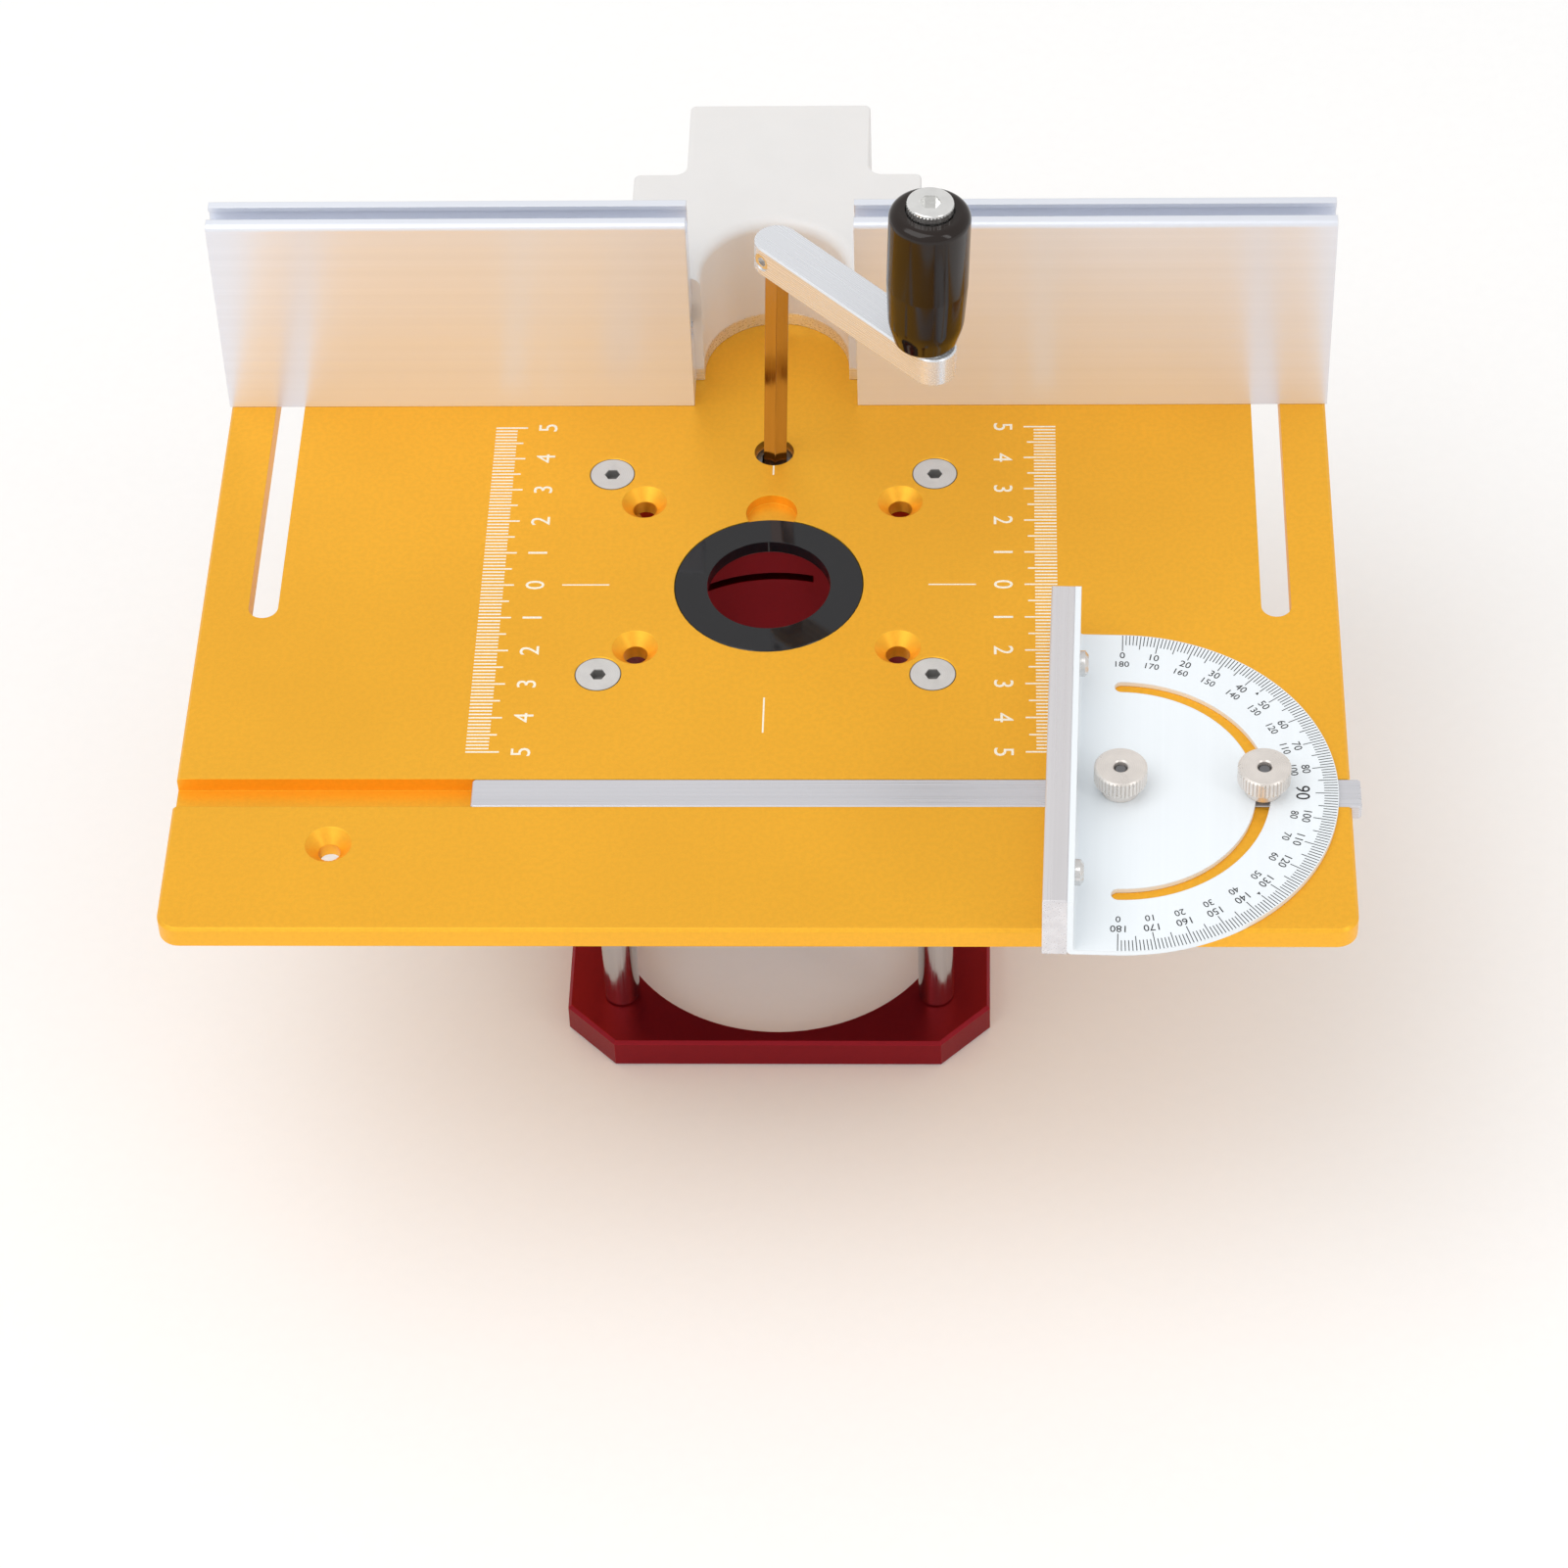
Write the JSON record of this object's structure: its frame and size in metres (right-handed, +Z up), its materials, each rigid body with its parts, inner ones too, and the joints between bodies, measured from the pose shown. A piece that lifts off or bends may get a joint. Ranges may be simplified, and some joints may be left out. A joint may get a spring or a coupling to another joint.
{
  "type": "router table with screw lift",
  "caption": "Bench router table: gold plate with a crank-driven motor lift below, a split aluminium fence with a bit relief, and a protractor mitre gauge.",
  "frame": {"origin": "the router bit's axis where it meets the top face of the table plate", "axes": "+Z up, out of the table; +Y towards the fence, away from the user; +X to the user's right"},
  "size_m": [0.2465, 0.2325, 0.2083],
  "materials": {
    "gold_anodised": "fine satin anodised gold",
    "red_anodised": "fine satin anodised dark red",
    "silver_aluminium": "extruded, clear anodised",
    "grey_ring": "turned, black anodised",
    "white_plastic": "moulded, matt off-white",
    "black_plastic": "moulded, satin black",
    "bright_steel": "ground and polished",
    "plated_steel": "zinc or nickel plated",
    "knob_metal": "turned and knurled",
    "dark_steel": "turned steel, lightly oiled",
    "bronze": "sintered or turned bronze"
  },
  "bodies": {
    "table": {"table_plate": "gold_anodised", "column_screws": "plated_steel", "guide_columns": "bright_steel", "lift_base_plate": "red_anodised", "base_screws": "plated_steel", "upper_bush": "bronze", "thrust_bush": "bronze"},
    "ring": {"insert_ring": "grey_ring"},
    "screw": {"lead_screw": "dark_steel", "screw_collar": "dark_steel", "collar_set_screw": "plated_steel", "screw_clip": "dark_steel"},
    "carriage": {"lift_carriage": "red_anodised", "carriage_bushes": "bronze", "lift_nut": "bronze"},
    "clamp_screw": {"clamp_bolt": "plated_steel"},
    "crank": {"crank_shaft": "plated_steel", "crank_arm": "bright_steel", "crank_set_screw": "plated_steel", "grip_washer": "plated_steel", "grip_bolt": "plated_steel"},
    "grip": {"crank_grip": "black_plastic"},
    "fence": {"fence_base": "silver_aluminium", "fence_bridge": "white_plastic", "bridge_screws": "plated_steel", "face_bolts": "plated_steel", "face_washers": "plated_steel", "face_nuts": "plated_steel", "fence_clamp_bolts": "plated_steel", "fence_clamp_washers": "plated_steel"},
    "left_face": {"fence_face_left": "silver_aluminium"},
    "right_face": {"fence_face_right": "silver_aluminium"},
    "left_clamp": {"fence_knob_left": "black_plastic"},
    "right_clamp": {"fence_knob_right": "black_plastic"},
    "mitre": {"mitre_bar": "silver_aluminium", "mitre_studs": "plated_steel"},
    "protractor": {"protractor_plate": "silver_aluminium", "mitre_fence": "silver_aluminium", "mitre_fence_screws": "plated_steel"},
    "pivot_nut": {"pivot_knob": "knob_metal"},
    "lock_nut": {"lock_knob": "knob_metal"}
  },
  "joints": [
    {"name": "ring_lift", "type": "slide", "parent": "table", "child": "ring", "axis": [0, 0, 1], "range_m": [0, 0.015]},
    {"name": "screw_turn", "type": "hinge", "parent": "table", "child": "screw", "pos_m": [0, 0.042, -0.05], "axis": [0, 0, 1], "range_deg": [-541, 8101]},
    {"name": "lift_slide", "type": "slide", "parent": "table", "child": "carriage", "axis": [0, 0, 1], "range_m": [-0.045, 0.003]},
    {"name": "clamp_bolt_turn", "type": "hinge", "parent": "carriage", "child": "clamp_screw", "pos_m": [0.01, -0.0465, -0.035], "axis": [1, 0, 0], "range_deg": [0, 360]},
    {"name": "crank_pull", "type": "slide", "parent": "screw", "child": "crank", "axis": [0, 0, 1], "range_m": [0, 0.06]},
    {"name": "grip_spin", "type": "hinge", "parent": "crank", "child": "grip", "pos_m": [0.03482, 0.011, 0.07878], "axis": [0.0366, 0, 0.9993], "continuous": true},
    {"name": "fence_slide", "type": "slide", "parent": "table", "child": "fence", "axis": [0, 1, 0], "range_m": [-0.038, 0.008]},
    {"name": "left_face_slide", "type": "slide", "parent": "fence", "child": "left_face", "axis": [1, 0, 0], "range_m": [-0.01, 0.01]},
    {"name": "right_face_slide", "type": "slide", "parent": "fence", "child": "right_face", "axis": [1, 0, 0], "range_m": [-0.01, 0.01]},
    {"name": "left_knob_turn", "type": "hinge", "parent": "fence", "child": "left_clamp", "pos_m": [-0.10875, 0.083, 0.01], "axis": [0, 0, 1], "range_deg": [0, 360]},
    {"name": "right_knob_turn", "type": "hinge", "parent": "fence", "child": "right_clamp", "pos_m": [0.10875, 0.083, 0.01], "axis": [0, 0, 1], "range_deg": [0, 360]},
    {"name": "mitre_slide", "type": "slide", "parent": "table", "child": "mitre", "axis": [1, 0, 0], "range_m": [-0.12, 0.04]},
    {"name": "protractor_turn", "type": "hinge", "parent": "mitre", "child": "protractor", "pos_m": [0.07445, -0.06175, 0.001], "axis": [0, 0, 1], "range_deg": [-85, 85]},
    {"name": "pivot_knob_turn", "type": "hinge", "parent": "mitre", "child": "pivot_nut", "pos_m": [0.07445, -0.06175, 0.004], "axis": [0, 0, 1], "range_deg": [0, 360]},
    {"name": "lock_knob_turn", "type": "hinge", "parent": "mitre", "child": "lock_nut", "pos_m": [0.10395, -0.06175, 0.004], "axis": [0, 0, 1], "range_deg": [0, 360]}
  ],
  "couplings": [
    {"joint": "screw_turn", "follows": "lift_slide", "rad_per_m": -3141.6}
  ]
}
